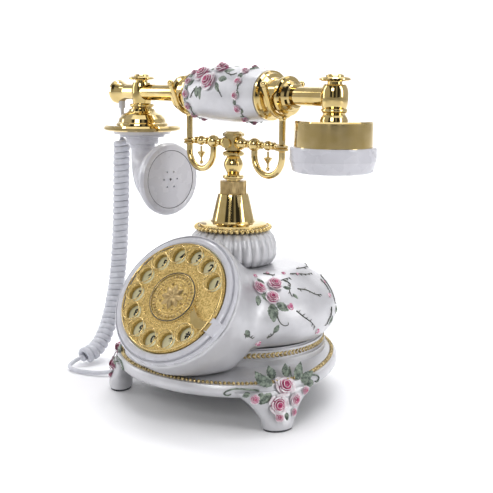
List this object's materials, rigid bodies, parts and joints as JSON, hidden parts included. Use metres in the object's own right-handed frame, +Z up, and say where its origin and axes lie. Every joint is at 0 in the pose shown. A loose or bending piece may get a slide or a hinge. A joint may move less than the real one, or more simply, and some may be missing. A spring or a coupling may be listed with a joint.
{
  "type": "table telephone",
  "caption": "Ornate white and gold table telephone with a rotary-style dial, a turned column cradle, a French-style handset and a curly cord.",
  "frame": {"origin": "on the floor, under the middle of the telephone's bounding box without its cord", "axes": "+Z up; -Y is the way the dial faces; +X to the ear-cup side"},
  "size_m": [0.2587, 0.1797, 0.2368],
  "materials": {
    "pearl": "pearl lacquer on cast resin",
    "gold": "polished gold plate",
    "antique_gold": "darkened gold plate",
    "white_plastic": "white gloss",
    "ivory": "satin ivory",
    "cord_white": "soft white",
    "steel": "plain",
    "black_plastic": "black",
    "board_green": "green",
    "pad_rubber": "dark rubber"
  },
  "bodies": {
    "base": {"plinth": "pearl", "bottom_plate": "black_plastic", "bottom_screw_1": "steel", "bottom_screw_2": "steel", "bottom_screw_3": "steel", "bottom_screw_4": "steel", "foot_pad_left": "pad_rubber", "foot_pad_right": "pad_rubber", "foot_pad_back": "pad_rubber", "circuit_board": "board_green", "ringer": "black_plastic", "handset_jack": "black_plastic", "line_jack": "black_plastic", "body_shell": "pearl", "collar": "pearl", "collar_bead_ring": "antique_gold", "column": "gold", "clamp_nut": "steel", "switch_bracket": "steel", "hook_switch": "black_plastic", "knurled_nut": "antique_gold", "dial_bezel": "white_plastic", "finger_stop_clip": "white_plastic", "finger_stop": "gold", "number_plate": "ivory", "dial_mechanism": "black_plastic", "cord_plug": "cord_white", "cord_floor_lead": "cord_white", "curly_cord": "cord_white"},
    "dial": {"finger_wheel": "gold", "dial_cap": "gold", "dial_shaft": "steel"},
    "cradle": {"cradle_stem": "gold", "cradle_hub": "gold", "left_fork": "gold", "right_fork": "gold", "left_cross_arm": "gold", "right_cross_arm": "gold"},
    "left_drop": {"left_pendant": "gold"},
    "right_drop": {"right_pendant": "gold"},
    "handset": {"grip": "pearl", "left_sleeve": "gold", "right_sleeve": "gold", "right_tee": "gold", "left_tee": "gold", "right_tube": "gold", "left_tube": "gold", "right_knob": "gold", "left_knob": "gold", "left_end_cap": "gold", "cord_gland": "cord_white", "mouth_flange": "gold", "horn": "white_plastic", "mouth_cap": "white_plastic", "microphone": "black_plastic", "ear_cup": "gold", "ear_ring": "white_plastic", "receiver": "black_plastic", "cord_top_lead": "cord_white"}
  },
  "joints": [
    {"name": "dial_turn", "type": "hinge", "parent": "base", "child": "dial", "pos_m": [0.00866, -0.06324, 0.0839], "axis": [0, 0.8121, -0.5835], "range_deg": [0, 310], "stiffness_Nm_per_rad": 0.004, "springref_deg": -34.38},
    {"name": "handset_lift", "type": "slide", "parent": "base", "child": "handset", "axis": [0, 0, 1], "range_m": [0, 0.08], "deforming": ["curly_cord", "cord_top_lead", "cord_floor_lead"]},
    {"name": "cradle_rise", "type": "slide", "parent": "base", "child": "cradle", "axis": [0, 0, 1], "range_m": [0, 0.004]},
    {"name": "left_drop_swing", "type": "hinge", "parent": "cradle", "child": "left_drop", "pos_m": [-0.02511, 0.01232, 0.1796], "axis": [0.1908, 0.9816, 0], "range_deg": [-25, 25]},
    {"name": "right_drop_swing", "type": "hinge", "parent": "cradle", "child": "right_drop", "pos_m": [0.04243, -0.0008, 0.1796], "axis": [0.1908, 0.9816, 0], "range_deg": [-25, 25]}
  ],
  "couplings": [
    {"joint": "cradle_rise", "follows": "handset_lift", "ratio": 0.05}
  ]
}
